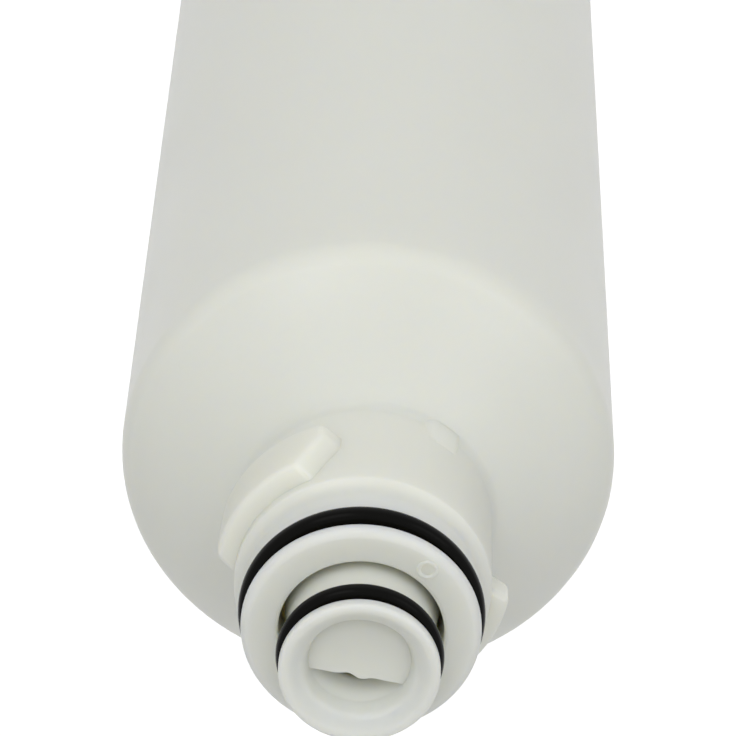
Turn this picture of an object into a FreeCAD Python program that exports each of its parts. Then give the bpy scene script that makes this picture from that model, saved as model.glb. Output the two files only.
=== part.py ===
import FreeCAD, Part
import Sketcher
import math
import os

# Twist-in water filter cartridge of a fridge, standing on its base with the nozzle up (+Z).
# The origin is the middle of the base's underside. Lengths are in millimetres, angles in degrees.

doc = FreeCAD.newDocument("FilterCartridge")
sheet = doc.addObject("Spreadsheet::Sheet", "Sizes")

SIZES = {
    # Housing tube, shoulder and dome. The pitch is the angle between the dome's normal and the horizontal.
    "body_radius": 33.0,
    "body_height": 245.2,
    "body_wall": 2.6,
    "shoulder_radius": 5.6,
    "shoulder_turn": 42.0,
    "crown_radius": 30.0,
    "dome_pitch": 55.0,
    # Neck and outer nozzle.
    "neck_radius": 16.5,
    "neck_height": 17.5,
    "neck_wall": 3.2,
    "neck_root_round": 1.2,
    "neck_edge_round": 0.5,
    "nozzle_step": 1.3,
    "nozzle_height": 10.8,
    "nozzle_wall": 4.7,
    "nozzle_bore_length": 8.2,
    "nozzle_root_round": 0.6,
    "nozzle_lip": 1.7,
    "nozzle_lip_round": 1.2,
    "nozzle_bore_round": 0.5,
    "nozzle_groove_width": 4.3,
    "nozzle_groove_depth": 2.2,
    "nozzle_ring_section": 2.65,
    # Bayonet lugs on the neck, with a slanted leading end and a bevelled back at the trailing end.
    "lug_count": 2,
    "lug_reach": 2.5,
    "lug_drop": 2.3,
    "lug_depth": 8.1,
    "lug_width": 20.4,
    "lug_place": 140.5,
    "lug_lead_run": 3.1,
    "lug_lead_rise": 5.5,
    "lug_trail_run": 3.2,
    "lug_trail_rise": 4.8,
    "lug_round": 0.6,
    # Stop blocks at the foot of the neck, which end the turn in the socket. One end is a ramp.
    "stop_reach": 0.9,
    "stop_depth": 4.2,
    "stop_place": 63.5,
    "stop_span": 37.0,
    "stop_ramp": 20.0,
    # Outlet spout, which carries the small sealing ring. Its stem flares out in the nozzle's bore.
    "spout_reach": 9.3,
    "spout_radius": 10.1,
    "spout_lip": 1.7,
    "spout_lip_round": 1.4,
    "spout_groove_width": 3.6,
    "spout_groove_radius": 8.1,
    "spout_ring_section": 2.4,
    "spout_collar_radius": 9.3,
    "spout_collar_height": 1.2,
    "stem_radius": 8.2,
    "stem_flare_radius": 9.9,
    "stem_flare_top_radius": 9.0,
    "stem_flare_length": 10.0,
    "stem_bore_radius": 5.9,
    "mouth_radius": 6.7,
    "mouth_round": 1.5,
    "mouth_depth": 3.2,
    "web_thickness": 2.5,
    "port_offset": 2.3,
    "port_place": 81.0,
    # Filter element inside the housing.
    "element_drop": 1.0,
    "cap_floor": 2.5,
    "cap_rim_wall": 1.1,
    "cap_rim_height": 6.0,
    "wrap_thickness": 1.1,
    "block_bore_radius": 6.0,
    # Fins that hold the stem in the middle of the dome and the neck.
    "fin_count": 2,
    "fin_thickness": 2.0,
    "fin_reach": 8.0,
    "fin_rise": 8.0,
    # Base cap, welded into the open end of the tube.
    "base_height": 8.0,
    "base_round": 3.0,
    "base_recess_radius": 24.0,
    "base_recess_depth": 2.0,
    "base_floor": 3.0,
    "base_spigot_height": 10.0,
    "base_spigot_wall": 1.1,
    "base_rib_count": 6,
    "base_rib_thickness": 2.0,
    "base_rib_height": 6.0,
    "base_rib_inset": 8.0,
    # Clearances between the pieces.
    "ring_gap": 0.05,
    "weld_gap": 0.1,
    "element_gap": 0.2,
    "wrap_gap": 0.1,
    "fin_gap": 0.2,
}
for row, (alias, size) in enumerate(SIZES.items(), start=1):
    sheet.set(f"A{row}", alias)
    sheet.set(f"B{row}", str(size))
    sheet.setAlias(f"B{row}", alias)
doc.recompute()

# Heights and radii that follow from the sizes, from the shoulder up to the tip of the spout.
CROWN_R = "(Sizes.body_radius - Sizes.shoulder_radius * (1 - cos(Sizes.shoulder_turn)))"
CROWN_Z = "(Sizes.body_height + Sizes.shoulder_radius * sin(Sizes.shoulder_turn))"
SLOPE_R = f"({CROWN_R} - Sizes.crown_radius * (cos(Sizes.shoulder_turn) - cos(Sizes.dome_pitch)))"
SLOPE_Z = f"({CROWN_Z} + Sizes.crown_radius * (sin(Sizes.dome_pitch) - sin(Sizes.shoulder_turn)))"
NECK_Z = f"({SLOPE_Z} + ({SLOPE_R} - Sizes.neck_radius) / tan(Sizes.dome_pitch))"
STEP_Z = f"({NECK_Z} + Sizes.neck_height)"
FACE_Z = f"({STEP_Z} + Sizes.nozzle_height)"
TIP_Z = f"({FACE_Z} + Sizes.spout_reach)"

# The inside of the dome runs parallel to its outside, one wall in, down to the tube's bore.
INNER_CROWN_R = f"({CROWN_R} - Sizes.body_wall * cos(Sizes.shoulder_turn))"
INNER_CROWN_Z = f"({CROWN_Z} - Sizes.body_wall * sin(Sizes.shoulder_turn))"
INNER_SLOPE_R = f"({SLOPE_R} - Sizes.body_wall * cos(Sizes.dome_pitch))"
INNER_SLOPE_Z = f"({SLOPE_Z} - Sizes.body_wall * sin(Sizes.dome_pitch))"
BODY_BORE = "(Sizes.body_radius - Sizes.body_wall)"
NECK_BORE = "(Sizes.neck_radius - Sizes.neck_wall)"
NOZZLE_RADIUS = "(Sizes.neck_radius - Sizes.nozzle_step)"
NOZZLE_BORE = f"({NOZZLE_RADIUS} - Sizes.nozzle_wall)"

# The grooves for the sealing rings, each with its front and back wall.
NOZZLE_GROOVE_RADIUS = f"({NOZZLE_RADIUS} - Sizes.nozzle_groove_depth)"
NOZZLE_GROOVE_TOP = f"({FACE_Z} - Sizes.nozzle_lip)"
NOZZLE_GROOVE_FOOT = f"({NOZZLE_GROOVE_TOP} - Sizes.nozzle_groove_width)"
SPOUT_GROOVE_TOP = f"({TIP_Z} - Sizes.spout_lip)"
SPOUT_GROOVE_FOOT = f"({SPOUT_GROOVE_TOP} - Sizes.spout_groove_width)"

# The filter element stands on the base's ribs and ends just under the shoulder.
SPIGOT_RADIUS = f"({BODY_BORE} - Sizes.weld_gap)"
CAP_RADIUS = f"({SPIGOT_RADIUS} - Sizes.base_spigot_wall - Sizes.element_gap)"
CAP_BORE = f"({CAP_RADIUS} - Sizes.cap_rim_wall)"
WRAP_RADIUS = f"({CAP_BORE} - Sizes.wrap_gap)"
WRAP_BORE = f"({WRAP_RADIUS} - Sizes.wrap_thickness)"
BLOCK_RADIUS = f"({WRAP_BORE} - Sizes.wrap_gap)"
BASE_FLOOR_Z = "(Sizes.base_recess_depth + Sizes.base_floor)"
ELEMENT_FOOT = f"({BASE_FLOOR_Z} + Sizes.base_rib_height)"
BLOCK_FOOT = f"({ELEMENT_FOOT} + Sizes.cap_floor)"
ELEMENT_TOP = "(Sizes.body_height - Sizes.element_drop)"
BLOCK_TOP = f"({ELEMENT_TOP} - Sizes.cap_floor)"


def value(expression):
    """The present value of an expression on the sheet."""
    return float(sheet.evalExpression(expression))


def inner_dome_height(radius):
    """The height of the dome's inner slope at a radius."""
    return f"({INNER_SLOPE_Z} + ({INNER_SLOPE_R} - {radius}) / tan(Sizes.dome_pitch))"


def new_body(label):
    body = doc.addObject("PartDesign::Body", label)
    body.Label = label
    return body


def origin_feature(body, role):
    """A plane or an axis of the body's own origin."""
    return next(feature for feature in body.Origin.OriginFeatures if feature.Role == role)


def new_sketch(body, name, role):
    sketch = body.newObject("Sketcher::SketchObject", name)
    sketch.AttachmentSupport = [(origin_feature(body, role), "")]
    sketch.MapMode = "FlatFace"
    return sketch


def turn_sketch(sketch, axis, angle):
    """Turns a sketch about one of its own axes by an angle from the sheet."""
    rotation = FreeCAD.Rotation(axis, value(angle))
    sketch.AttachmentOffset = FreeCAD.Placement(FreeCAD.Vector(), rotation)
    sketch.setExpression("AttachmentOffset.Rotation.Angle", angle)


def bind(sketch, constraint, expression):
    index = sketch.addConstraint(constraint)
    sketch.setExpression(f"Constraints[{index}]", expression)


def arc_between(start, end, radius, turn):
    """The shorter arc between two points, which turns left or right on its way."""
    chord = end - start
    side = FreeCAD.Vector(-chord.y, chord.x, 0).normalize()
    if turn == "right":
        side = side * -1
    centre = (start + end) * 0.5 + side * math.sqrt(radius**2 - chord.Length**2 / 4)
    angles = [math.atan2(point.y - centre.y, point.x - centre.x) for point in (start, end)]
    if turn == "right":
        angles.reverse()
    circle = Part.Circle(centre, FreeCAD.Vector(0, 0, 1), radius)
    return Part.ArcOfCircle(circle, *angles)


def draw_outline(sketch, corners):
    """Draws a closed outline whose corners (across, up) are expressions on the sheet.

    A corner with a radius and a turn is reached along an arc, and any other one along a straight line.
    """
    first = sketch.GeometryCount
    points = [FreeCAD.Vector(value(corner[0]), value(corner[1]), 0) for corner in corners]
    starts = []
    ends = []
    for index, corner in enumerate(corners):
        start = points[index - 1]
        end = points[index]
        geometry = first + index
        if len(corner) == 2:
            sketch.addGeometry(Part.LineSegment(start, end))
            turn = "left"
        else:
            turn = corner[3]
            sketch.addGeometry(arc_between(start, end, value(corner[2]), turn))
            bind(sketch, Sketcher.Constraint("Radius", geometry, value(corner[2])), corner[2])
        starts.append((geometry, 1 if turn == "left" else 2))
        ends.append((geometry, 2 if turn == "left" else 1))
    for index, corner in enumerate(corners):
        sketch.addConstraint(Sketcher.Constraint("Coincident", *ends[index - 1], *starts[index]))
        for kind, axis, place in (("DistanceX", -2, corner[0]), ("DistanceY", -1, corner[1])):
            if place == "0":
                sketch.addConstraint(Sketcher.Constraint("PointOnObject", *ends[index], axis))
            else:
                bind(sketch, Sketcher.Constraint(kind, -1, 1, *ends[index], value(place)), place)


def plan_sketch(body, name, place, height):
    """A sketch across the cartridge's axis, turned to its place and raised to a height."""
    sketch = new_sketch(body, name, "XY_Plane")
    turn_sketch(sketch, FreeCAD.Vector(0, 0, 1), place)
    sketch.setExpression("AttachmentOffset.Base.z", height)
    return sketch


def pad(body, name, sketch, length):
    feature = body.newObject("PartDesign::Pad", name)
    feature.Profile = sketch
    feature.setExpression("Length", length)
    body.Tip = feature
    return feature


def revolve(body, name, sketch):
    """Turns a sketch about the cartridge's axis."""
    feature = body.newObject("PartDesign::Revolution", name)
    feature.Profile = sketch
    feature.ReferenceAxis = (sketch, ["V_Axis"])
    feature.Angle = 360
    body.Tip = feature
    return feature


def turned_piece(label, corners):
    """A body of one full turn of an outline."""
    body = new_body(label)
    sketch = new_sketch(body, f"{label}_outline", "XZ_Plane")
    draw_outline(sketch, corners)
    revolve(body, f"{label}_turn", sketch)
    return body


def polar_pattern(body, name, features, count):
    pattern = body.newObject("PartDesign::PolarPattern", name)
    pattern.Originals = features
    pattern.Axis = (origin_feature(body, "Z_Axis"), [""])
    pattern.Angle = 360
    pattern.setExpression("Occurrences", count)
    body.Tip = pattern
    return pattern


def rib_set(body, name, corners, thickness, count):
    """Flat ribs of one outline, evenly spaced round the axis."""
    sketch = new_sketch(body, f"{name}_outline", "XZ_Plane")
    draw_outline(sketch, corners)
    rib = pad(body, name, sketch, thickness)
    rib.Midplane = True
    doc.recompute()
    polar_pattern(body, f"{name}_pattern", [rib], count)


def cut(body, name, sketch, length=None):
    """Cuts a sketch out of the body along the sketch's normal, right through or to a length."""
    doc.recompute()
    before = body.Shape.Volume
    feature = body.newObject("PartDesign::Pocket", name)
    feature.Profile = sketch
    feature.Reversed = True
    if length:
        feature.setExpression("Length", length)
    else:
        feature.Type = "ThroughAll"
    body.Tip = feature
    doc.recompute()
    if body.Shape.Volume >= before:
        raise RuntimeError(f"{name} cuts nothing")
    return feature


def ring(label, groove_radius, section, groove_foot):
    """A round sealing ring that lies in its groove against the back wall."""
    torus = doc.addObject("Part::Torus", label)
    torus.Label = label
    torus.setExpression("Radius1", f"{groove_radius} + Sizes.ring_gap + {section} / 2")
    torus.setExpression("Radius2", f"{section} / 2")
    torus.setExpression("Placement.Base.z", f"{groove_foot} + Sizes.ring_gap + {section} / 2")
    return torus


def make_housing():
    body = new_body("housing")

    lug_top = f"({STEP_Z} - Sizes.lug_drop)"
    lug_foot = f"({lug_top} - Sizes.lug_depth)"
    lug_root = f"(({NECK_BORE} + Sizes.neck_radius) / 2)"
    lug_radius = "(Sizes.neck_radius + Sizes.lug_reach)"
    lug_half = "(Sizes.lug_width / 2)"
    root_chord = f"sqrt({lug_root} ^ 2 - {lug_half} ^ 2)"
    rim_chord = f"sqrt({lug_radius} ^ 2 - {lug_half} ^ 2)"
    sketch = plan_sketch(body, "lug_outline", "Sizes.lug_place", lug_foot)
    draw_outline(sketch, [
        (root_chord, f"-{lug_half}", lug_root, "right"),
        (rim_chord, f"-{lug_half}"),
        (rim_chord, lug_half, lug_radius, "left"),
        (root_chord, lug_half),
    ])
    lug = pad(body, "lug", sketch, "Sizes.lug_depth")

    # The ends are cut along the lug's middle radius: the lead-in at the left, the bevel at the right.
    sketch = new_sketch(body, "lug_ends", "XZ_Plane")
    turn_sketch(sketch, FreeCAD.Vector(0, 1, 0), "Sizes.lug_place + 90")
    draw_outline(sketch, [
        (f"Sizes.lug_lead_run - {lug_half}", lug_top),
        (f"-{lug_half}", lug_top),
        (f"-{lug_half}", f"{lug_top} - Sizes.lug_lead_rise"),
    ])
    draw_outline(sketch, [
        (f"{lug_half} - Sizes.lug_trail_run", lug_foot),
        (lug_half, lug_foot),
        (lug_half, f"{lug_foot} + Sizes.lug_trail_rise"),
    ])
    lug_ends = cut(body, "lug_end_cuts", sketch)
    polar_pattern(body, "lug_pair", [lug, lug_ends], "Sizes.lug_count")

    stop_radius = "(Sizes.neck_radius + Sizes.stop_reach)"
    stop_foot = f"({inner_dome_height(stop_radius)} + Sizes.body_wall / 2)"
    stop_top = f"({NECK_Z} + Sizes.stop_depth)"
    stop_half = "(Sizes.stop_span / 2)"
    ramp_start = f"({stop_half} - Sizes.stop_ramp)"
    sketch = plan_sketch(body, "stop_outline", "Sizes.stop_place", stop_foot)
    draw_outline(sketch, [
        (f"{lug_root} * cos({stop_half})", f"-{lug_root} * sin({stop_half})", lug_root, "right"),
        (f"{stop_radius} * cos({stop_half})", f"-{stop_radius} * sin({stop_half})"),
        (f"{stop_radius} * cos({ramp_start})", f"{stop_radius} * sin({ramp_start})", stop_radius, "left"),
        (f"{lug_root} * cos({stop_half})", f"{lug_root} * sin({stop_half})"),
    ])
    stop = pad(body, "stop", sketch, f"{stop_top} - {stop_foot}")
    doc.recompute()
    polar_pattern(body, "stop_pair", [stop], "Sizes.lug_count")
    doc.recompute()

    root_length = "(Sizes.neck_root_round * tan(Sizes.dome_pitch / 2))"
    bore_step = f"({FACE_Z} - Sizes.nozzle_bore_length)"
    sketch = new_sketch(body, "shell_outline", "XZ_Plane")
    draw_outline(sketch, [
        ("Sizes.body_radius", "Sizes.base_height"),
        ("Sizes.body_radius", "Sizes.body_height"),
        (CROWN_R, CROWN_Z, "Sizes.shoulder_radius", "left"),
        (SLOPE_R, SLOPE_Z, "Sizes.crown_radius", "left"),
        (f"Sizes.neck_radius + {root_length} * sin(Sizes.dome_pitch)",
         f"{NECK_Z} - {root_length} * cos(Sizes.dome_pitch)"),
        ("Sizes.neck_radius", f"{NECK_Z} + {root_length}", "Sizes.neck_root_round", "right"),
        ("Sizes.neck_radius", f"{STEP_Z} - Sizes.neck_edge_round"),
        ("Sizes.neck_radius - Sizes.neck_edge_round", STEP_Z, "Sizes.neck_edge_round", "left"),
        (f"{NOZZLE_RADIUS} + Sizes.nozzle_root_round", STEP_Z),
        (NOZZLE_RADIUS, f"{STEP_Z} + Sizes.nozzle_root_round", "Sizes.nozzle_root_round", "right"),
        (NOZZLE_RADIUS, NOZZLE_GROOVE_FOOT),
        (NOZZLE_GROOVE_RADIUS, NOZZLE_GROOVE_FOOT),
        (NOZZLE_GROOVE_RADIUS, NOZZLE_GROOVE_TOP),
        (NOZZLE_RADIUS, NOZZLE_GROOVE_TOP),
        (NOZZLE_RADIUS, f"{FACE_Z} - Sizes.nozzle_lip_round"),
        (f"{NOZZLE_RADIUS} - Sizes.nozzle_lip_round", FACE_Z, "Sizes.nozzle_lip_round", "left"),
        (f"{NOZZLE_BORE} + Sizes.nozzle_bore_round", FACE_Z),
        (NOZZLE_BORE, f"{FACE_Z} - Sizes.nozzle_bore_round", "Sizes.nozzle_bore_round", "left"),
        (NOZZLE_BORE, bore_step),
        (NECK_BORE, bore_step),
        (NECK_BORE, inner_dome_height(NECK_BORE)),
        (INNER_SLOPE_R, INNER_SLOPE_Z),
        (INNER_CROWN_R, INNER_CROWN_Z, "Sizes.crown_radius - Sizes.body_wall", "right"),
        (BODY_BORE, "Sizes.body_height", "Sizes.shoulder_radius - Sizes.body_wall", "right"),
        (BODY_BORE, "Sizes.base_height"),
    ])
    shell = revolve(body, "shell", sketch)
    doc.recompute()

    rim_radius = value(lug_radius)
    rim_tolerance = 0.01
    rims = []
    for index, edge in enumerate(shell.Shape.Edges, start=1):
        middle = edge.valueAt((edge.FirstParameter + edge.LastParameter) / 2)
        places = [vertex.Point for vertex in edge.Vertexes] + [middle]
        if all(abs(math.hypot(place.x, place.y) - rim_radius) < rim_tolerance for place in places):
            rims.append(f"Edge{index}")
    rounding = body.newObject("PartDesign::Fillet", "lug_rims")
    rounding.Base = (shell, rims)
    rounding.setExpression("Radius", "Sizes.lug_round")
    body.Tip = rounding
    return body


def make_element_top_cap():
    rim_foot = f"({BLOCK_TOP} - Sizes.cap_rim_height)"
    collar_foot = f"({SPOUT_GROOVE_FOOT} - Sizes.spout_collar_height)"
    flare_foot = f"({collar_foot} - Sizes.stem_flare_length)"
    web_top = f"({TIP_Z} - Sizes.mouth_depth)"
    web_foot = f"({web_top} - Sizes.web_thickness)"
    body = turned_piece("element_top_cap", [
        ("0", web_foot),
        ("Sizes.stem_bore_radius", web_foot),
        ("Sizes.stem_bore_radius", BLOCK_TOP),
        (CAP_BORE, BLOCK_TOP),
        (CAP_BORE, rim_foot),
        (CAP_RADIUS, rim_foot),
        (CAP_RADIUS, ELEMENT_TOP),
        ("Sizes.stem_radius", ELEMENT_TOP),
        ("Sizes.stem_radius", flare_foot),
        ("Sizes.stem_flare_radius", flare_foot),
        ("Sizes.stem_flare_top_radius", collar_foot),
        ("Sizes.spout_collar_radius", collar_foot),
        ("Sizes.spout_collar_radius", SPOUT_GROOVE_FOOT),
        ("Sizes.spout_groove_radius", SPOUT_GROOVE_FOOT),
        ("Sizes.spout_groove_radius", SPOUT_GROOVE_TOP),
        ("Sizes.spout_radius", SPOUT_GROOVE_TOP),
        ("Sizes.spout_radius", f"{TIP_Z} - Sizes.spout_lip_round"),
        ("Sizes.spout_radius - Sizes.spout_lip_round", TIP_Z, "Sizes.spout_lip_round", "left"),
        ("Sizes.mouth_radius + Sizes.mouth_round", TIP_Z),
        ("Sizes.mouth_radius", f"{TIP_Z} - Sizes.mouth_round", "Sizes.mouth_round", "left"),
        ("Sizes.mouth_radius", web_top),
        ("0", web_top),
    ])

    # The half-moon port leaves the web on one side of a chord of the stem's bore.
    sketch = plan_sketch(body, "port_outline", "Sizes.port_place - 90", web_foot)
    port_half = "sqrt(Sizes.stem_bore_radius ^ 2 - Sizes.port_offset ^ 2)"
    draw_outline(sketch, [
        (port_half, "Sizes.port_offset"),
        (f"-{port_half}", "Sizes.port_offset", "Sizes.stem_bore_radius", "left"),
    ])
    cut(body, "port", sketch, "Sizes.web_thickness")

    fin_foot_radius = "((Sizes.stem_radius + Sizes.stem_bore_radius) / 2)"
    fin_radius = f"({NECK_BORE} - Sizes.fin_gap)"
    fin_reach = f"({NECK_BORE} + Sizes.fin_reach)"
    fin_step = f"({inner_dome_height(NECK_BORE)} + Sizes.fin_rise)"
    rib_set(body, "fin", [
        (fin_foot_radius, f"{ELEMENT_TOP} - Sizes.cap_floor / 2"),
        (fin_reach, f"{ELEMENT_TOP} - Sizes.cap_floor / 2"),
        (fin_reach, f"{inner_dome_height(fin_reach)} - Sizes.fin_gap"),
        (fin_radius, f"{inner_dome_height(fin_radius)} - Sizes.fin_gap"),
        (fin_radius, fin_step),
        (fin_foot_radius, fin_step),
    ], "Sizes.fin_thickness", "Sizes.fin_count")
    return body


def make_element_bottom_cap():
    rim_top = f"({BLOCK_FOOT} + Sizes.cap_rim_height)"
    return turned_piece("element_bottom_cap", [
        ("0", ELEMENT_FOOT),
        (CAP_RADIUS, ELEMENT_FOOT),
        (CAP_RADIUS, rim_top),
        (CAP_BORE, rim_top),
        (CAP_BORE, BLOCK_FOOT),
        ("0", BLOCK_FOOT),
    ])


def make_sleeve(label, bore, radius):
    """A plain sleeve between the floors of the element's two end caps."""
    return turned_piece(label, [
        (bore, BLOCK_FOOT),
        (radius, BLOCK_FOOT),
        (radius, BLOCK_TOP),
        (bore, BLOCK_TOP),
    ])


def make_base_cap():
    spigot_bore = f"({SPIGOT_RADIUS} - Sizes.base_spigot_wall)"
    spigot_top = "(Sizes.base_height + Sizes.base_spigot_height)"
    body = turned_piece("base_cap", [
        ("Sizes.base_recess_radius", "0"),
        ("Sizes.body_radius - Sizes.base_round", "0"),
        ("Sizes.body_radius", "Sizes.base_round", "Sizes.base_round", "left"),
        ("Sizes.body_radius", "Sizes.base_height"),
        (SPIGOT_RADIUS, "Sizes.base_height"),
        (SPIGOT_RADIUS, spigot_top),
        (spigot_bore, spigot_top),
        (spigot_bore, BASE_FLOOR_Z),
        ("0", BASE_FLOOR_Z),
        ("0", "Sizes.base_recess_depth"),
        ("Sizes.base_recess_radius", "Sizes.base_recess_depth"),
    ])
    rib_foot = f"({BASE_FLOOR_Z} - Sizes.base_floor / 2)"
    rib_set(body, "base_rib", [
        ("Sizes.base_rib_inset", rib_foot),
        (spigot_bore, rib_foot),
        (spigot_bore, ELEMENT_FOOT),
        ("Sizes.base_rib_inset", ELEMENT_FOOT),
    ], "Sizes.base_rib_thickness", "Sizes.base_rib_count")
    return body


pieces = [
    make_base_cap(),
    make_housing(),
    make_element_bottom_cap(),
    make_sleeve("carbon_block", "Sizes.block_bore_radius", BLOCK_RADIUS),
    make_sleeve("prefilter_wrap", WRAP_BORE, WRAP_RADIUS),
    make_element_top_cap(),
    ring("nozzle_o_ring", NOZZLE_GROOVE_RADIUS, "Sizes.nozzle_ring_section", NOZZLE_GROOVE_FOOT),
    ring("spout_o_ring", "Sizes.spout_groove_radius", "Sizes.spout_ring_section", SPOUT_GROOVE_FOOT),
]
doc.recompute()

for item in doc.Objects:
    if "Invalid" in item.State or "Error" in item.State:
        raise RuntimeError(f"{item.Label} failed: {item.State}")
for piece in pieces:
    if piece.Shape.isNull() or not piece.Shape.isValid() or len(piece.Shape.Solids) != 1:
        raise RuntimeError(f"{piece.Label} is not one valid solid")

os.makedirs("parts", exist_ok=True)
for piece in pieces:
    piece.Shape.exportStep(f"parts/{piece.Label}.step")
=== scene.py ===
import bmesh
import bpy
import math
from mathutils import Matrix, Vector


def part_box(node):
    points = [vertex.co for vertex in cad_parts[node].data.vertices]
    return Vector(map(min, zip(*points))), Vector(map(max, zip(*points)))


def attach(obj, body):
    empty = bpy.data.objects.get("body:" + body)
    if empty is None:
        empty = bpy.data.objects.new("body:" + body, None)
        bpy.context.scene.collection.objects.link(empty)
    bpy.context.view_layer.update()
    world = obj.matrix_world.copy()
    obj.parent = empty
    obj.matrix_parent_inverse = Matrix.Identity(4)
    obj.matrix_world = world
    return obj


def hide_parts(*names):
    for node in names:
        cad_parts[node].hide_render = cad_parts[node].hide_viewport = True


# A twist-in water filter cartridge for a fridge, put together from the base up to the spout.
# Lengths are in metres and angles in degrees. The cartridge stands on its base with its axis along Z.
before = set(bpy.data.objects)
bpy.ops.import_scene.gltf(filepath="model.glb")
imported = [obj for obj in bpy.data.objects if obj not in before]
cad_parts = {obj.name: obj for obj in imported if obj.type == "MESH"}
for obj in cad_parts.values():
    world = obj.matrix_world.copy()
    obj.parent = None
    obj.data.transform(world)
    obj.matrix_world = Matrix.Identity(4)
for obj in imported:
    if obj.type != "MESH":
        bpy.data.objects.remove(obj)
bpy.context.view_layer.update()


# Base cap: the plain end on which the cartridge stands, moulded in white polypropylene.
# Its spigot reaches up into the tube, where the two are spin-welded, and its ribs carry the filter element.
# In the middle of the recess is the small nub that the moulding gate leaves.
base_low, base_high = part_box("base_cap")
tube_radius = base_high.x
weld_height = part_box("housing")[0].z
weld_round = 0.0004
base_round = 0.003
recess_radius = 0.024
recess_depth = 0.002
recess_round = 0.0008
gate_radius = 0.0012
gate_drop = 0.0004
gate_dish_radius = 0.003
gate_dish_depth = 0.0003
gate_round = 0.00015
base_floor_height = 0.005
spigot_radius = 0.0303
spigot_bore = 0.0292
spigot_round = 0.0003
base_rib_count = 6
base_rib_thickness = 0.002
base_rib_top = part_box("element_bottom_cap")[0].z
base_rib_inset = 0.008
full_turn = 360.0
turn_steps = 256
arc_step = 9.0
least_arc_steps = 2
seam_distance = 1e-7
crease_angle = 40.0
cloud_size = 0.03
gloss_patch_size = 0.012
patch_detail = 3.0
grain_size = 0.0009
grain_detail = 2.0
grain_strength = 0.12
grain_depth = 0.00002
noise_middle = 0.5
scatter_weight = 1.0
scatter_shares = (1.0, 0.9, 0.65)
scatter_depth = 0.005
plastic_roughness = 0.35
plastic_roughness_spread = 0.08
white_light = (0.76, 0.765, 0.70)
white_shade = (0.74, 0.75, 0.675)


def verts_among(items):
    """The vertices among the geometry that an operator gives back."""
    return [item for item in items if isinstance(item, bmesh.types.BMVert)]


def spin_round(mesh, centre, steps):
    """Spins an outline one full turn about the upright axis through a centre."""
    bmesh.ops.spin(mesh, geom=mesh.verts[:] + mesh.edges[:], cent=centre, axis=(0, 0, 1),
                   angle=math.tau, steps=steps, use_merge=True)


def add_turned_wall(mesh, corners, closed=True):
    """Draws an outline through corners (radius, height, round), and spins it about the cartridge's axis."""
    runs = []
    for index, (radius, height, rounding) in enumerate(corners):
        corner = Vector((radius, 0.0, height))
        if rounding == 0:
            vert = mesh.verts.new(corner)
            runs.append((vert, vert))
            continue
        before = corners[index - 1]
        after = corners[(index + 1) % len(corners)]
        back = (Vector((before[0], 0.0, before[1])) - corner).normalized()
        ahead = (Vector((after[0], 0.0, after[1])) - corner).normalized()
        turn = math.pi - back.angle(ahead)
        first = mesh.verts.new(corner + back * rounding * math.tan(turn / 2))
        centre = corner + (back + ahead).normalized() * rounding / math.cos(turn / 2)
        steps = max(least_arc_steps, math.ceil(math.degrees(turn) / arc_step))
        arc = bmesh.ops.spin(mesh, geom=[first], cent=centre, axis=ahead.cross(back), angle=turn, steps=steps)
        runs.append((first, verts_among(arc["geom_last"])[0]))
    follows = runs[1:] + runs[:1] if closed else runs[1:]
    for (_, last), (first, _) in zip(runs, follows):
        mesh.edges.new((last, first))
    spin_round(mesh, (0, 0, 0), turn_steps)


def clean_skin(mesh):
    """Closes the seams of a shape and points its faces outwards."""
    bmesh.ops.remove_doubles(mesh, verts=mesh.verts, dist=seam_distance)
    bmesh.ops.recalc_face_normals(mesh, faces=mesh.faces)


def place_about_axis(mesh, place):
    """Turns a shape about the cartridge's axis."""
    bmesh.ops.rotate(mesh, verts=mesh.verts, cent=(0, 0, 0),
                     matrix=Matrix.Rotation(math.radians(place), 3, "Z"))


def raise_faces(mesh, lift):
    """Draws the faces of a flat shape out into a solid, and gives the drawn-out vertices."""
    drawn = bmesh.ops.extrude_face_region(mesh, geom=mesh.faces[:], use_keep_orig=True)
    verts = verts_among(drawn["geom"])
    bmesh.ops.translate(mesh, verts=verts, vec=lift)
    bmesh.ops.recalc_face_normals(mesh, faces=mesh.faces)
    return verts


def round_edges(mesh, edges, rounding, segments):
    """Rounds the moulded edges of a shape."""
    bmesh.ops.bevel(mesh, geom=edges, offset=rounding, offset_type="OFFSET", segments=segments, profile=0.5,
                    affect="EDGES", material=-1, clamp_overlap=True)


def fuse(mesh, shapes):
    """Unites the wall with the closed shapes that stand out of it, as one skin with no faces inside."""
    added = bpy.data.meshes.new("added")
    together = bmesh.new()
    for shape in shapes:
        clean_skin(shape)
        shape.to_mesh(added)
        shape.free()
        together.from_mesh(added)
    together.to_mesh(added)
    together.free()
    wall = bpy.data.meshes.new("wall")
    clean_skin(mesh)
    mesh.to_mesh(wall)
    blanks = [bpy.data.objects.new(data.name, data) for data in (wall, added)]
    for blank in blanks:
        bpy.context.scene.collection.objects.link(blank)
    union = blanks[0].modifiers.new("union", "BOOLEAN")
    union.operation = "UNION"
    union.solver = "EXACT"
    union.object = blanks[1]
    evaluated = blanks[0].evaluated_get(bpy.context.evaluated_depsgraph_get())
    united = bpy.data.meshes.new_from_object(evaluated)
    mesh.clear()
    mesh.from_mesh(united)
    for blank in blanks:
        bpy.data.objects.remove(blank)
    for data in (wall, added, united):
        bpy.data.meshes.remove(data)


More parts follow.
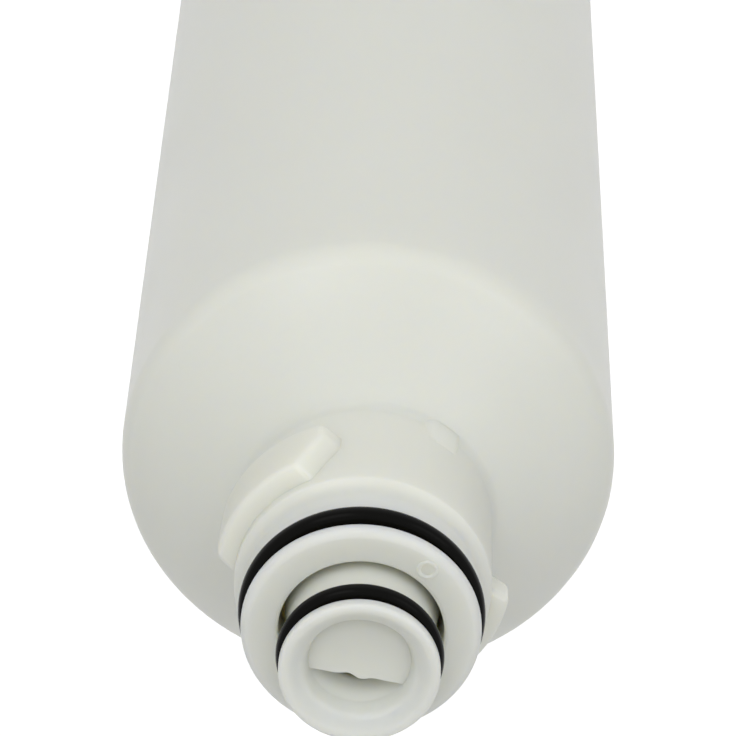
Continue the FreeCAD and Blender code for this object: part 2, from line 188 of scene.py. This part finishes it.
def finish_piece(mesh, name, material, node):
    """Makes the mesh an object that stands for its node, smooth but for its creases."""
    clean_skin(mesh)
    for face in mesh.faces:
        face.smooth = True
    for edge in mesh.edges:
        edge.smooth = edge.calc_face_angle(0.0) < math.radians(crease_angle)
    data = bpy.data.meshes.new(name)
    mesh.to_mesh(data)
    mesh.free()
    data.materials.append(material)
    piece = bpy.data.objects.new(name, data)
    bpy.context.scene.collection.objects.link(piece)
    weighted = piece.modifiers.new("flat_faces", "WEIGHTED_NORMAL")
    weighted.keep_sharp = True
    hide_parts(node)
    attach(piece, "root")


def moulded_skin_group():
    """The skin of a moulded piece: slow clouds for the colour, uneven gloss and a fine grain."""
    group = bpy.data.node_groups.new("moulded_skin", "ShaderNodeTree")
    for name in ("Gloss Middle", "Gloss Spread"):
        group.interface.new_socket(name=name, in_out="INPUT", socket_type="NodeSocketFloat")
    for name in ("Clouds", "Roughness", "Height"):
        group.interface.new_socket(name=name, in_out="OUTPUT", socket_type="NodeSocketFloat")
    nodes, links = group.nodes, group.links
    entry = nodes.new("NodeGroupInput")
    result = nodes.new("NodeGroupOutput")
    place = nodes.new("ShaderNodeTexCoord")

    def noise(size, detail):
        texture = nodes.new("ShaderNodeTexNoise")
        texture.inputs["Scale"].default_value = 1.0 / size
        texture.inputs["Detail"].default_value = detail
        links.new(place.outputs["Object"], texture.inputs["Vector"])
        return texture.outputs["Fac"]

    centred = nodes.new("ShaderNodeMath")
    centred.operation = "SUBTRACT"
    centred.inputs[1].default_value = noise_middle
    spread = nodes.new("ShaderNodeMath")
    spread.operation = "MULTIPLY_ADD"
    links.new(noise(gloss_patch_size, patch_detail), centred.inputs[0])
    links.new(centred.outputs[0], spread.inputs[0])
    links.new(entry.outputs["Gloss Spread"], spread.inputs[1])
    links.new(entry.outputs["Gloss Middle"], spread.inputs[2])
    links.new(spread.outputs[0], result.inputs["Roughness"])
    links.new(noise(cloud_size, patch_detail), result.inputs["Clouds"])
    links.new(noise(grain_size, grain_detail), result.inputs["Height"])
    return group


moulded_skin = moulded_skin_group()


def bare_material(name):
    """A new material and its shader."""
    material = bpy.data.materials.new(name)
    material.use_nodes = True
    return material, material.node_tree.nodes["Principled BSDF"]


def lay_moulded_skin(tree, shader, roughness, spread):
    """Gives a shader the uneven gloss of a moulded skin, and gives back the skin's node."""
    skin = tree.nodes.new("ShaderNodeGroup")
    skin.node_tree = moulded_skin
    skin.inputs["Gloss Middle"].default_value = roughness
    skin.inputs["Gloss Spread"].default_value = spread
    tree.links.new(skin.outputs["Roughness"], shader.inputs["Roughness"])
    return skin


def mix_colours(tree, shader, pattern, first_colour, second_colour):
    """Runs a shader's colour from one to another by a pattern."""
    tint = tree.nodes.new("ShaderNodeMix")
    tint.data_type = "RGBA"
    tint.inputs["A"].default_value = (*first_colour, 1.0)
    tint.inputs["B"].default_value = (*second_colour, 1.0)
    tree.links.new(pattern, tint.inputs["Factor"])
    tree.links.new(tint.outputs["Result"], shader.inputs["Base Color"])


def add_relief(tree, shader, pattern, strength, depth):
    """Gives a shader a fine relief by a pattern, and gives back the relief's node."""
    bump = tree.nodes.new("ShaderNodeBump")
    bump.inputs["Strength"].default_value = strength
    bump.inputs["Distance"].default_value = depth
    tree.links.new(pattern, bump.inputs["Height"])
    tree.links.new(bump.outputs["Normal"], shader.inputs["Normal"])
    return bump


def moulded_plastic(name, light_colour, shade_colour):
    """Satin moulded plastic between two near colours, in which light scatters a little."""
    material, shader = bare_material(name)
    tree = material.node_tree
    shader.inputs["Subsurface Weight"].default_value = scatter_weight
    shader.inputs["Subsurface Radius"].default_value = scatter_shares
    shader.inputs["Subsurface Scale"].default_value = scatter_depth
    skin = lay_moulded_skin(tree, shader, plastic_roughness, plastic_roughness_spread)
    mix_colours(tree, shader, skin.outputs["Clouds"], light_colour, shade_colour)
    add_relief(tree, shader, skin.outputs["Height"], grain_strength, grain_depth)
    return material


white_plastic = moulded_plastic("white_plastic", white_light, white_shade)


def base_rib(place):
    """A rib on the base's floor, which runs out to the spigot."""
    rib = bmesh.new()
    foot = base_floor_height - recess_round
    reach = (spigot_bore + spigot_radius) / 2
    half = base_rib_thickness / 2
    plan = [(base_rib_inset, -half), (reach, -half), (reach, half), (base_rib_inset, half)]
    rib.faces.new([rib.verts.new((radius, across, foot)) for radius, across in plan])
    raise_faces(rib, (0.0, 0.0, base_rib_top - foot))
    place_about_axis(rib, place)
    return rib


mesh = bmesh.new()
add_turned_wall(mesh, [
    (0.0, recess_depth - gate_drop, 0),
    (gate_radius, recess_depth - gate_drop, gate_round),
    (gate_radius, recess_depth + gate_dish_depth, gate_round),
    (gate_dish_radius, recess_depth + gate_dish_depth, gate_round),
    (gate_dish_radius, recess_depth, gate_round),
    (recess_radius, recess_depth, recess_round),
    (recess_radius, base_low.z, recess_round),
    (tube_radius, base_low.z, base_round),
    (tube_radius, weld_height, weld_round),
    (spigot_radius, weld_height, 0),
    (spigot_radius, base_high.z, spigot_round),
    (spigot_bore, base_high.z, spigot_round),
    (spigot_bore, base_floor_height, recess_round),
    (0.0, base_floor_height, 0),
], closed=False)
fuse(mesh, [base_rib(full_turn * index / base_rib_count) for index in range(base_rib_count)])
finish_piece(mesh, "base_cap_moulding", white_plastic, "base_cap")


# Housing: the long tube, the domed shoulder, the neck and the outer nozzle, moulded in one piece of
# white polypropylene. The two lugs on the neck turn into the fridge's socket like a bayonet, and two
# low ramped blocks at the foot of the neck end that turn.
tube_height = 0.2452
tube_wall = 0.0026
shoulder_round = 0.0056
shoulder_pitch = 42.0
crown_round = 0.030
dome_pitch = 55.0
neck_radius = 0.0165
neck_bore = 0.0133
neck_root_round = 0.0022
neck_edge_round = 0.0007
nozzle_face_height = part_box("housing")[1].z
nozzle_height = 0.0108
nozzle_radius = 0.0152
nozzle_root_rise = 0.0013
nozzle_root_round = 0.0022
nozzle_lip = 0.0017
nozzle_lip_round = 0.0012
nozzle_bore = 0.0105
nozzle_bore_length = 0.0082
nozzle_bore_round = 0.0005
nozzle_groove_width = 0.0043
nozzle_groove_radius = 0.013
groove_round = 0.0002
lug_radius = 0.019
lug_root = 0.0149
lug_drop = 0.0023
lug_face_rise = 0.0015
lug_depth = 0.0081
lug_width = 0.0204
lug_places = (140.5, -39.5)
lug_lead_run = 0.0031
lug_lead_rise = 0.0055
lug_trail_run = 0.0032
lug_trail_rise = 0.0048
lug_round = 0.0006
lug_round_steps = 4
lug_strips = 32
cut_tolerance = 1e-6
sharp_angle = 20.0
stop_radius = 0.0173
stop_height = 0.0042
stop_seat = 0.0016
stop_places = (63.5, 243.5)
stop_span = 37.0
stop_ramp = 20.0
stop_rim_steps = 4
stop_round = 0.0009
stop_round_steps = 3
stop_lean = 0.042
mark_place = -128.8
mark_offset = 0.0127
mark_radius = 0.0011
mark_section = 0.0003
mark_rise = 0.00022
mark_sides = 12
mark_steps = 48
quarter_turn = 90.0


def pitched(pitch):
    """A unit direction in the outline's plane, at an angle above the horizontal."""
    return Vector((math.cos(math.radians(pitch)), math.sin(math.radians(pitch))))


def inner_corner(outer, pitch, next_pitch):
    """The corner one wall inside an outer one, between faces whose normals have these two pitches."""
    half_turn = math.radians(next_pitch - pitch) / 2
    return outer - pitched((pitch + next_pitch) / 2) * tube_wall / math.cos(half_turn)


shoulder_reach = shoulder_round * math.tan(math.radians(shoulder_pitch) / 2)
crown_reach = crown_round * math.tan(math.radians(dome_pitch - shoulder_pitch) / 2)
shoulder_corner = Vector((tube_radius, tube_height + shoulder_reach))
crown_corner = shoulder_corner + pitched(shoulder_pitch + quarter_turn) * (shoulder_reach + crown_reach)
dome_rise = 1 / math.tan(math.radians(dome_pitch))
neck_foot = crown_corner.y + (crown_corner.x - neck_radius) * dome_rise
step_height = nozzle_face_height - nozzle_height
groove_top = nozzle_face_height - nozzle_lip
groove_foot = groove_top - nozzle_groove_width
bore_step_height = nozzle_face_height - nozzle_bore_length
inner_shoulder = inner_corner(shoulder_corner, 0, shoulder_pitch)
inner_crown = inner_corner(crown_corner, shoulder_pitch, dome_pitch)
inner_neck_foot = inner_crown.y + (inner_crown.x - neck_bore) * dome_rise


def sharp_edges(mesh, verts):
    """The sharp edges of a shape that touch the given vertices."""
    return [
        edge for edge in mesh.edges
        if edge.calc_face_angle(0.0) > math.radians(sharp_angle) and any(vert in verts for vert in edge.verts)
    ]


def bayonet_lug(place):
    """A lug: its outline is drawn out to the rim, rounded, cut into strips and bent round the neck.

    The front face rises a little from the rim towards the neck.
    """
    top = step_height - lug_drop
    foot = top - lug_depth
    half = lug_width / 2
    reach = lug_radius - lug_root
    outline = [
        (-half, foot),
        (half - lug_trail_run, foot),
        (half, foot + lug_trail_rise),
        (half, top),
        (-half + lug_lead_run, top),
        (-half, top - lug_lead_rise),
    ]
    lug = bmesh.new()
    lug.faces.new([lug.verts.new((0.0, across, height)) for across, height in outline])
    rim = raise_faces(lug, (reach, 0.0, 0.0))
    round_edges(lug, sharp_edges(lug, set(rim)), lug_round, lug_round_steps)
    for index in range(1, lug_strips):
        across = lug_width * index / lug_strips - half
        bmesh.ops.bisect_plane(lug, geom=lug.verts[:] + lug.edges[:] + lug.faces[:], dist=cut_tolerance,
                               plane_co=(0, across, 0), plane_no=(0, 1, 0))
    for vert in lug.verts:
        vert.co.z += lug_face_rise * (1 - vert.co.x / reach) * (vert.co.z - foot) / lug_depth
        vert.co.x = math.sqrt((lug_root + vert.co.x) ** 2 - vert.co.y ** 2)
    place_about_axis(lug, place)
    return lug


def turning_stop(place):
    """A stop: its plan is a part of the rim, a ramp down to the neck and the root, raised out of the dome.

    It leans in towards its top, where it runs out in the neck.
    """
    stop = bmesh.new()
    foot = neck_foot - stop_seat
    rise = stop_seat + stop_height
    half = math.radians(stop_span / 2)
    first = stop.verts.new((stop_radius * math.cos(half), -stop_radius * math.sin(half), foot))
    rim = bmesh.ops.spin(stop, geom=[first], cent=(0, 0, 0), axis=(0, 0, 1),
                         angle=math.radians(stop_span - stop_ramp), steps=stop_rim_steps)
    last = verts_among(rim["geom_last"])[0]
    roots = [stop.verts.new((lug_root * math.cos(half), side * lug_root * math.sin(half), foot))
             for side in (1, -1)]
    for pair in ((last, roots[0]), roots, (roots[1], first)):
        stop.edges.new(pair)
    bmesh.ops.edgeloop_fill(stop, edges=stop.edges[:])
    top = raise_faces(stop, (0.0, 0.0, rise))
    round_edges(stop, sharp_edges(stop, set(top)), stop_round, stop_round_steps)
    for vert in stop.verts:
        narrowing = 1 - stop_lean * (vert.co.z - foot) / rise
        vert.co.x *= narrowing
        vert.co.y *= narrowing
    place_about_axis(stop, place)
    return stop


def ring_of_round_section(centre, radius, section, sides, steps):
    """A ring of round section about the upright axis through its centre."""
    ring = bmesh.new()
    upright = Matrix.Rotation(math.radians(quarter_turn), 4, "X")
    place = Matrix.Translation(centre) @ Matrix.Translation((radius, 0.0, 0.0))
    bmesh.ops.create_circle(ring, radius=section, segments=sides, matrix=place @ upright)
    spin_round(ring, centre, steps)
    return ring


def pin_mark():
    """The fine raised ring that an ejector pin leaves on the nozzle's face."""
    centre = (mark_offset, 0.0, nozzle_face_height + mark_rise - mark_section)
    mark = ring_of_round_section(centre, mark_radius, mark_section, mark_sides, mark_steps)
    place_about_axis(mark, mark_place)
    return mark


mesh = bmesh.new()
add_turned_wall(mesh, [
    (tube_radius, weld_height, weld_round),
    (*shoulder_corner, shoulder_round),
    (*crown_corner, crown_round),
    (neck_radius, neck_foot, neck_root_round),
    (neck_radius, step_height, neck_edge_round),
    (nozzle_radius, step_height + nozzle_root_rise, nozzle_root_round),
    (nozzle_radius, groove_foot, groove_round),
    (nozzle_groove_radius, groove_foot, groove_round),
    (nozzle_groove_radius, groove_top, groove_round),
    (nozzle_radius, groove_top, groove_round),
    (nozzle_radius, nozzle_face_height, nozzle_lip_round),
    (nozzle_bore, nozzle_face_height, nozzle_bore_round),
    (nozzle_bore, bore_step_height, groove_round),
    (neck_bore, bore_step_height, groove_round),
    (neck_bore, inner_neck_foot, neck_edge_round),
    (*inner_crown, crown_round - tube_wall),
    (*inner_shoulder, shoulder_round - tube_wall),
    (tube_radius - tube_wall, weld_height, groove_round),
])
fuse(mesh, [
    *(bayonet_lug(place) for place in lug_places),
    *(turning_stop(place) for place in stop_places),
    pin_mark(),
])
finish_piece(mesh, "housing_moulding", white_plastic, "housing")


# Lower end cap of the filter element: a shallow dish of white polypropylene, glued to the block's
# lower end. It closes the block's bore, so that the water has to pass through the carbon.
element_light = (0.725, 0.733, 0.665)
element_shade = (0.705, 0.713, 0.642)
element_plastic = moulded_plastic("element_plastic", element_light, element_shade)
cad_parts["element_bottom_cap"].material_slots[0].material = element_plastic


# Carbon block: a thick sleeve of powdered carbon, matt black and granular.
# The powder is pressed with a binder in a mould and baked until the grains hold together.
carbon_roughness = 0.85
carbon_grain_scale = 1400.0
carbon_grain_colour = (0.04, 0.04, 0.042)
carbon_gap_painted_shade = (0.012, 0.012, 0.012)
carbon_relief_strength = 0.6
carbon_relief_depth = 0.0002


def pressed_carbon():
    """Black grains with sunken gaps between them, where the colour is darkened with painted shade."""
    material, shader = bare_material("pressed_carbon")
    tree = material.node_tree
    shader.inputs["Roughness"].default_value = carbon_roughness
    place = tree.nodes.new("ShaderNodeTexCoord")
    grains = tree.nodes.new("ShaderNodeTexVoronoi")
    grains.inputs["Scale"].default_value = carbon_grain_scale
    tree.links.new(place.outputs["Object"], grains.inputs["Vector"])
    gaps = grains.outputs["Distance"]
    # Painted shade: the colour darkens towards the edges of the grains, in the sunken gaps between them.
    mix_colours(tree, shader, gaps, carbon_grain_colour, carbon_gap_painted_shade)
    relief = add_relief(tree, shader, gaps, carbon_relief_strength, carbon_relief_depth)
    relief.invert = True
    return material


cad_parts["carbon_block"].material_slots[0].material = pressed_carbon()


# Prefilter wrap: a sleeve of soft white nonwoven, which keeps rust and sand off the carbon.
# It is wound once round the block and closed along a heat-sealed seam.
felt_roughness = 0.9
felt_fibre_scale = 900.0
felt_fibre_detail = 6.0
felt_fibre_tangle = 2.0
felt_gap_painted_shade = (0.72, 0.72, 0.70)
felt_fibre_colour = (0.84, 0.84, 0.82)
felt_relief_strength = 0.5
felt_relief_depth = 0.0002


def nonwoven_felt():
    """Matted white fibres, with painted shade in the low gaps between them."""
    material, shader = bare_material("nonwoven_felt")
    tree = material.node_tree
    shader.inputs["Roughness"].default_value = felt_roughness
    place = tree.nodes.new("ShaderNodeTexCoord")
    fibres = tree.nodes.new("ShaderNodeTexNoise")
    fibres.inputs["Scale"].default_value = felt_fibre_scale
    fibres.inputs["Detail"].default_value = felt_fibre_detail
    fibres.inputs["Distortion"].default_value = felt_fibre_tangle
    tree.links.new(place.outputs["Object"], fibres.inputs["Vector"])
    # Painted shade: the colour darkens where the relief of the fibres is low, in the gaps between them.
    mix_colours(tree, shader, fibres.outputs["Fac"], felt_gap_painted_shade, felt_fibre_colour)
    add_relief(tree, shader, fibres.outputs["Fac"], felt_relief_strength, felt_relief_depth)
    return material


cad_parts["prefilter_wrap"].material_slots[0].material = nonwoven_felt()


# Upper end cap of the filter element with its outlet spout: a white moulding whose stem runs up through
# the nozzle, held in the middle by two fins, and flares out in the nozzle's bore. The lip and the collar
# hold the small sealing ring, and a web with a half-moon port closes most of the dished mouth.
cap_low, cap_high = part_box("element_top_cap")
tip_height = cap_high.z
cap_radius = cap_high.x
cap_drop = 0.001
cap_floor = 0.0025
cap_bore = 0.0279
cap_round = 0.0003
stem_radius = 0.0082
stem_bore = 0.0059
stem_root_round = 0.0005
flare_radius = 0.0099
flare_top_radius = 0.009
flare_length = 0.01
spout_radius = 0.0101
spout_lip = 0.0017
spout_lip_round = 0.0005
spout_groove_width = 0.0036
spout_groove_radius = 0.0081
spout_collar_radius = 0.0093
spout_collar_height = 0.0012
spout_collar_round = 0.0001
mouth_radius = 0.0063
mouth_edge_radius = 0.0091
mouth_round = 0.0015
mouth_depth = 0.0032
dish_radius = 0.0071
dish_depth = 0.0014
dish_round = 0.002
throat_radius = 0.0042
throat_drop = 0.0003
throat_length = 0.0031
throat_round = 0.001
throat_flare = 0.002
web_thickness = 0.0025
web_seat = 0.0003
web_round = 0.0002
web_round_steps = 3
web_sides = 128
port_offset = 0.00233
port_place = 81.0
flash_cuts = 60
flash_wave = 0.00034
flash_length = 0.0041
flash_shift = -0.00028
flash_spread = 0.0022
fin_places = (0.0, 180.0)
fin_thickness = 0.002
fin_reach = 0.008
fin_rise = 0.008
fin_gap = 0.0002
fin_round = 0.0002
fin_round_steps = 2
element_top = tube_height - cap_drop
block_top = element_top - cap_floor
web_height = tip_height - mouth_depth
throat_height = web_height - throat_length
spout_groove_top = tip_height - spout_lip
spout_groove_foot = spout_groove_top - spout_groove_width
collar_foot = spout_groove_foot - spout_collar_height
flare_foot = collar_foot - flare_length


def mouth_web():
    """The web: a disc in the mouth, cut off along the port's edge, where the moulding left a wavy flash."""
    web = bmesh.new()
    bmesh.ops.create_circle(web, cap_ends=True, radius=mouth_radius + web_seat, segments=web_sides,
                            matrix=Matrix.Translation((0, 0, web_height - web_thickness)))
    toward_port = Matrix.Rotation(math.radians(port_place), 3, "Z") @ Vector((1, 0, 0))
    along_edge = Matrix.Rotation(math.radians(quarter_turn), 3, "Z") @ toward_port
    cut = bmesh.ops.bisect_plane(web, geom=web.verts[:] + web.edges[:] + web.faces[:], clear_outer=True,
                                 plane_co=toward_port * port_offset, plane_no=toward_port)
    edge = [item for item in cut["geom_cut"] if isinstance(item, bmesh.types.BMEdge)]
    split = bmesh.ops.subdivide_edges(web, edges=edge, cuts=flash_cuts)
    for vert in set(verts_among(split["geom_inner"])):
        along = vert.co.dot(along_edge)
        wave = math.sin(math.tau * (along - flash_shift) / flash_length)
        vert.co += toward_port * flash_wave * wave * math.exp(-((along / flash_spread) ** 2))
    top = raise_faces(web, (0.0, 0.0, web_thickness))
    past_edge = [vert for vert in top if vert.co.dot(toward_port) > port_offset - flash_wave]
    lip = [edge for edge in web.edges if all(vert in past_edge for vert in edge.verts)]
    round_edges(web, lip, web_round, web_round_steps)
    return web


def guide_fin(place):
    """A fin: a flat plate between the stem and the dome, whose edge follows the dome and the neck."""
    fin = bmesh.new()
    neck_side = neck_bore - fin_gap
    far_side = neck_bore + fin_reach
    inside = (stem_radius + stem_bore) / 2
    foot = element_top - cap_floor / 2
    outline = [
        (inside, foot),
        (far_side, foot),
        (far_side, inner_neck_foot - fin_reach * dome_rise - fin_gap),
        (neck_side, inner_neck_foot + fin_gap * dome_rise - fin_gap),
        (neck_side, inner_neck_foot + fin_rise),
        (inside, inner_neck_foot + fin_rise),
    ]
    fin.faces.new([fin.verts.new((radius, -fin_thickness / 2, height)) for radius, height in outline])
    raise_faces(fin, (0.0, fin_thickness, 0.0))
    outer = [vert for vert in fin.verts if vert.co.x > stem_radius]
    round_edges(fin, sharp_edges(fin, set(outer)), fin_round, fin_round_steps)
    place_about_axis(fin, place)
    return fin


mesh = bmesh.new()
add_turned_wall(mesh, [
    (throat_radius, throat_height, throat_round),
    (stem_bore, throat_height - throat_flare, throat_round),
    (stem_bore, block_top, cap_round),
    (cap_bore, block_top, cap_round),
    (cap_bore, cap_low.z, cap_round),
    (cap_radius, cap_low.z, cap_round),
    (cap_radius, element_top, cap_round),
    (stem_radius, element_top, stem_root_round),
    (stem_radius, flare_foot, stem_root_round),
    (flare_radius, flare_foot, cap_round),
    (flare_top_radius, collar_foot, spout_collar_round),
    (spout_collar_radius, collar_foot, spout_collar_round),
    (spout_collar_radius, spout_groove_foot, groove_round),
    (spout_groove_radius, spout_groove_foot, groove_round),
    (spout_groove_radius, spout_groove_top, groove_round),
    (spout_radius, spout_groove_top, groove_round),
    (spout_radius, tip_height, spout_lip_round),
    (mouth_edge_radius, tip_height, mouth_round),
    (dish_radius, tip_height - dish_depth, dish_round),
    (mouth_radius, web_height - throat_drop, throat_round),
])
fuse(mesh, [mouth_web(), *(guide_fin(place) for place in fin_places)])
finish_piece(mesh, "spout_moulding", element_plastic, "element_top_cap")


# Sealing rings: black rubber O-rings of round section, moulded and lightly greased, which are stretched into
# the grooves of the nozzle and of the spout and seal against the bores of the socket.
ring_sides = 40
rubber_colour = (0.003, 0.003, 0.0025, 1.0)
rubber_specular = 0.06
rubber_roughness = 0.2
rubber_roughness_spread = 0.08


def black_rubber():
    """Black rubber with an uneven film of grease."""
    material, shader = bare_material("black_rubber")
    shader.inputs["Base Color"].default_value = rubber_colour
    shader.inputs["Specular IOR Level"].default_value = rubber_specular
    lay_moulded_skin(material.node_tree, shader, rubber_roughness, rubber_roughness_spread)
    return material


def sealing_ring(name, node, material):
    """A ring as high and as wide as its node."""
    low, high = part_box(node)
    section = (high.z - low.z) / 2
    centre = (0.0, 0.0, (low.z + high.z) / 2)
    ring = ring_of_round_section(centre, high.x - section, section, ring_sides, turn_steps)
    finish_piece(ring, name, material, node)


ring_rubber = black_rubber()
sealing_ring("nozzle_ring", "nozzle_o_ring", ring_rubber)
sealing_ring("spout_ring", "spout_o_ring", ring_rubber)


# Stage: a plain pale floor under soft studio light, in a white surround.
# The camera stands where the photograph was taken from, in front and above the nozzle.
# Its lens and sensor are in millimetres, and the lamps' powers in watts.
white = (1.0, 1.0, 1.0, 1.0)
ambient_level = 0.6
backdrop_level = 1.0
floor_half_side = 3.0
floor_colour = (0.5, 0.5, 0.5, 1.0)
floor_roughness = 0.9
floor_glow = 0.72
lamp_aim = Vector((0.0, 0.0, 0.25))
camera_place = Vector((0.0, -0.3073, 0.7633))
camera_aim = Vector((0.0005, 0.0, 0.2209))
camera_roll = 182.4
camera_lens = 219.57
camera_sensor = 36.0
scene = bpy.context.scene
scene.view_settings.view_transform = "Standard"


def seen_mask(tree):
    """A mask of the rays by which the camera, a reflection or clear material sees a surface."""
    path = tree.nodes.new("ShaderNodeLightPath")
    mask = path.outputs["Is Camera Ray"]
    for kind in ("Is Glossy Ray", "Is Transmission Ray"):
        either = tree.nodes.new("ShaderNodeMath")
        either.operation = "MAXIMUM"
        tree.links.new(mask, either.inputs[0])
        tree.links.new(path.outputs[kind], either.inputs[1])
        mask = either.outputs[0]
    return mask


scene.world = bpy.data.worlds.new("studio")
scene.world.use_nodes = True
studio = scene.world.node_tree
ambient = studio.nodes["Background"]
backdrop = studio.nodes.new("ShaderNodeBackground")
for light, level in ((ambient, ambient_level), (backdrop, backdrop_level)):
    light.inputs["Color"].default_value = white
    light.inputs["Strength"].default_value = level
surround = studio.nodes.new("ShaderNodeMixShader")
studio.links.new(seen_mask(studio), surround.inputs["Fac"])
studio.links.new(ambient.outputs[0], surround.inputs[1])
studio.links.new(backdrop.outputs[0], surround.inputs[2])
studio.links.new(surround.outputs[0], studio.nodes["World Output"].inputs["Surface"])

floor_paint, floor_shader = bare_material("floor_paint")
floor_shader.inputs["Base Color"].default_value = floor_colour
floor_shader.inputs["Roughness"].default_value = floor_roughness
paint = floor_paint.node_tree
glow = paint.nodes.new("ShaderNodeEmission")
glow_level = paint.nodes.new("ShaderNodeMath")
glow_level.operation = "MULTIPLY"
glow_level.inputs[1].default_value = floor_glow
lit_floor = paint.nodes.new("ShaderNodeAddShader")
paint.links.new(seen_mask(paint), glow_level.inputs[0])
paint.links.new(glow_level.outputs[0], glow.inputs["Strength"])
paint.links.new(floor_shader.outputs[0], lit_floor.inputs[0])
paint.links.new(glow.outputs[0], lit_floor.inputs[1])
paint.links.new(lit_floor.outputs[0], paint.nodes["Material Output"].inputs["Surface"])
floor_data = bpy.data.meshes.new("floor")
mesh = bmesh.new()
bmesh.ops.create_grid(mesh, x_segments=1, y_segments=1, size=floor_half_side)
mesh.to_mesh(floor_data)
mesh.free()
floor_data.materials.append(floor_paint)
floor = bpy.data.objects.new("floor", floor_data)
scene.collection.objects.link(floor)


def aim_along(item, place, aim):
    """Puts a lamp or the camera in its place and points it."""
    item.location = place
    item.rotation_mode = "QUATERNION"
    item.rotation_quaternion = (aim - place).to_track_quat("-Z", "Y")
    scene.collection.objects.link(item)


for name, place, size, power, reflected in (
    ("left_lamp", Vector((0.408, -0.883, 0.769)), 0.5, 1.1, True),
    ("right_lamp", Vector((-0.769, -0.593, 0.766)), 0.5, 0.8, True),
    ("front_lamp", Vector((0.0, -1.46, 1.33)), 1.2, 11.8, False),
):
    softbox = bpy.data.lights.new(name, "AREA")
    softbox.shape = "SQUARE"
    softbox.size = size
    softbox.energy = power
    lamp = bpy.data.objects.new(name, softbox)
    lamp.visible_camera = False
    lamp.visible_glossy = reflected
    aim_along(lamp, place, lamp_aim)

camera_data = bpy.data.cameras.new("camera")
camera_data.lens = camera_lens
camera_data.sensor_width = camera_sensor
camera = bpy.data.objects.new("camera", camera_data)
aim_along(camera, camera_place, camera_aim)
camera.rotation_quaternion @= Matrix.Rotation(math.radians(camera_roll), 3, "Z").to_quaternion()
scene.camera = camera
